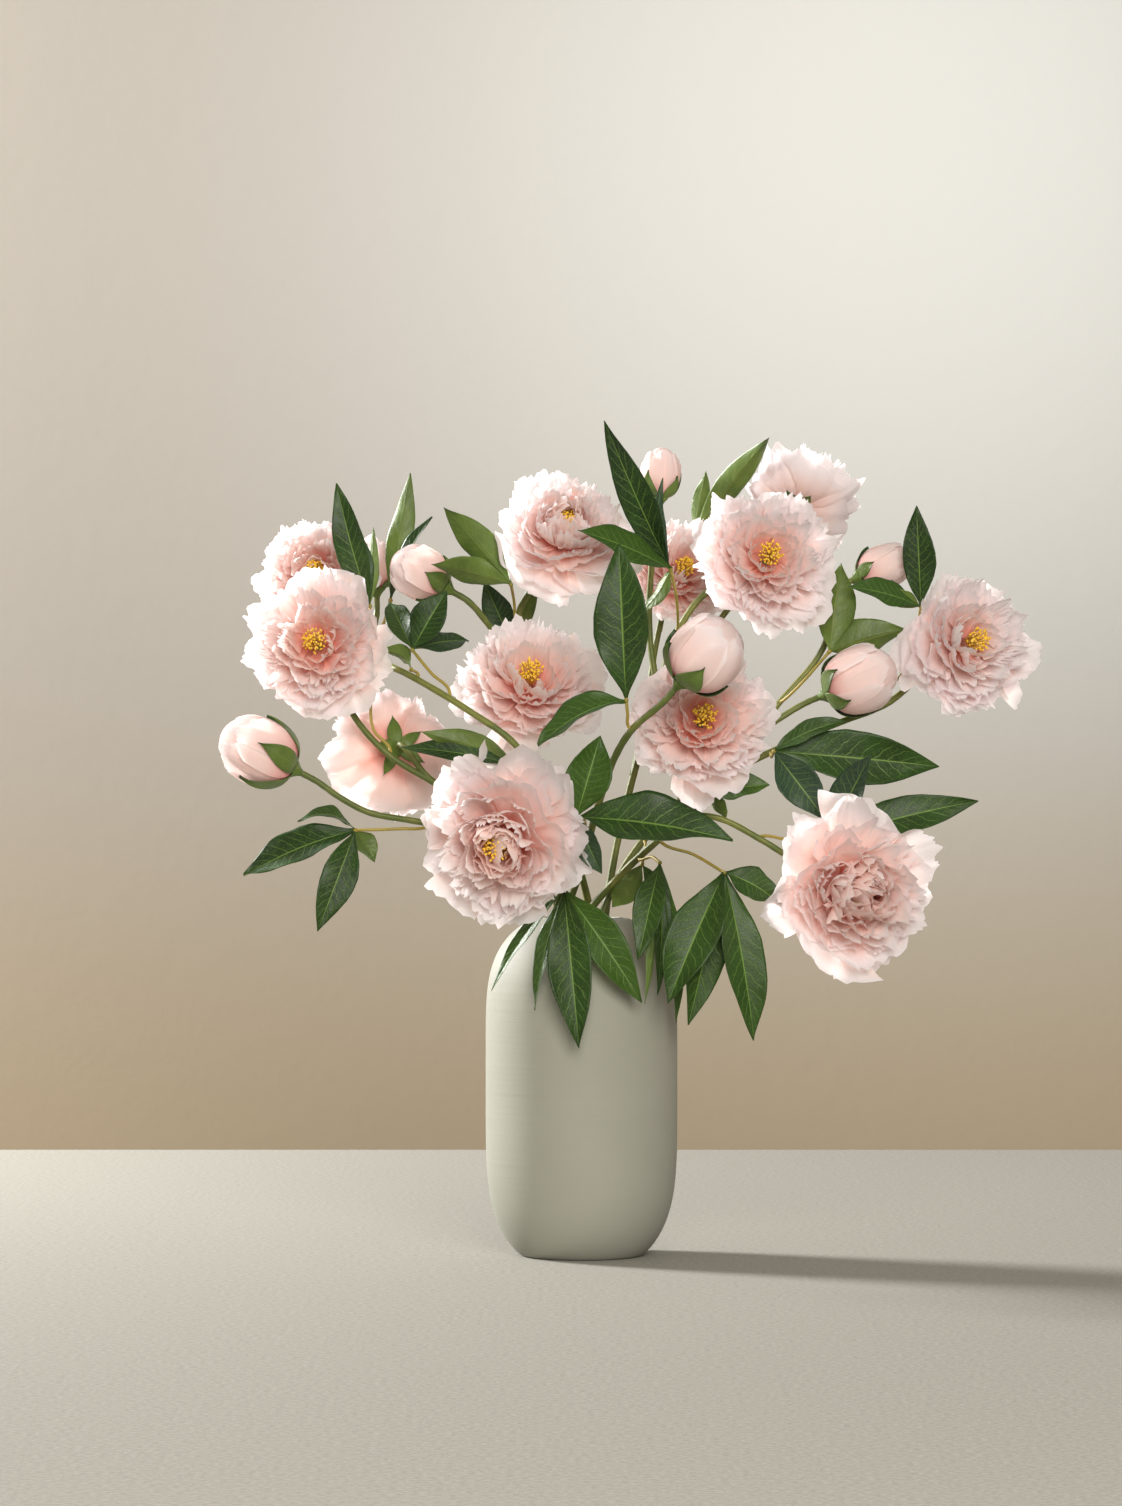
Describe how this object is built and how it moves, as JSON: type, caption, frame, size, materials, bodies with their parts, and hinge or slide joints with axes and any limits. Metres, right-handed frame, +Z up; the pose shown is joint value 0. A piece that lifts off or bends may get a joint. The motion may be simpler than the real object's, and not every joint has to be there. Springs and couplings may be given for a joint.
{
  "type": "faux peony bouquet in a rounded ceramic vase",
  "caption": "Rounded matte ceramic vase filled with branching sprays of pale pink faux peony blooms, closed buds and divided green leaves.",
  "frame": {"origin": "centre of the vase's flat base, on the surface it stands on", "axes": "+Z up; -Y towards the side that most blooms face; +X to that viewer's right"},
  "size_m": [0.5986, 0.2679, 0.604],
  "materials": {
    "vase_glaze": "matte",
    "stem_plastic": "matte",
    "petal_fabric": "soft matte",
    "stamen_thread": "matte",
    "bud_fabric": "soft matte",
    "leaf_fabric": "satin woven"
  },
  "bodies": {
    "root": {"bloom_back_right": "petal_fabric", "bloom_far_left": "petal_fabric", "bloom_far_right": "petal_fabric", "bloom_left_back": "petal_fabric", "bloom_low_front": "petal_fabric", "bloom_low_right": "petal_fabric", "bloom_middle_left": "petal_fabric", "bloom_middle_right": "petal_fabric", "bloom_top_left": "petal_fabric", "bloom_top_middle": "petal_fabric", "bloom_top_right": "petal_fabric", "bloom_turned_away": "petal_fabric", "bud_left": "bud_fabric", "bud_left_back": "bud_fabric", "bud_low_left": "bud_fabric", "bud_middle": "bud_fabric", "bud_right": "bud_fabric", "bud_right_high": "bud_fabric", "bud_top": "bud_fabric", "leaf_behind_left": "leaf_fabric", "leaf_far_right": "leaf_fabric", "leaf_front_right": "leaf_fabric", "leaf_left_back": "leaf_fabric", "leaf_left_high": "leaf_fabric", "leaf_left_middle": "leaf_fabric", "leaf_left_olive": "leaf_fabric", "leaf_left_small": "leaf_fabric", "leaf_left_top": "leaf_fabric", "leaf_low_left": "leaf_fabric", "leaf_low_right": "leaf_fabric", "leaf_middle": "leaf_fabric", "leaf_mouth": "leaf_fabric", "leaf_over_vase": "leaf_fabric", "leaf_right_high": "leaf_fabric", "leaf_right_low": "leaf_fabric", "leaf_right_middle": "leaf_fabric", "leaf_right_shoulder": "leaf_fabric", "leaf_top": "leaf_fabric", "leaf_top_back": "leaf_fabric", "leaf_under_middle": "leaf_fabric", "stamens_back_right": "stamen_thread", "stamens_far_left": "stamen_thread", "stamens_far_right": "stamen_thread", "stamens_left_back": "stamen_thread", "stamens_low_front": "stamen_thread", "stamens_low_right": "stamen_thread", "stamens_middle_left": "stamen_thread", "stamens_middle_right": "stamen_thread", "stamens_top_left": "stamen_thread", "stamens_top_middle": "stamen_thread", "stamens_top_right": "stamen_thread", "stamens_turned_away": "stamen_thread", "stem_back": "stem_plastic", "stem_front": "stem_plastic", "stem_front_left": "stem_plastic", "stem_front_right": "stem_plastic", "stem_left": "stem_plastic", "stem_left_back": "stem_plastic", "stem_right": "stem_plastic", "vase": "vase_glaze"}
  },
  "joints": []
}
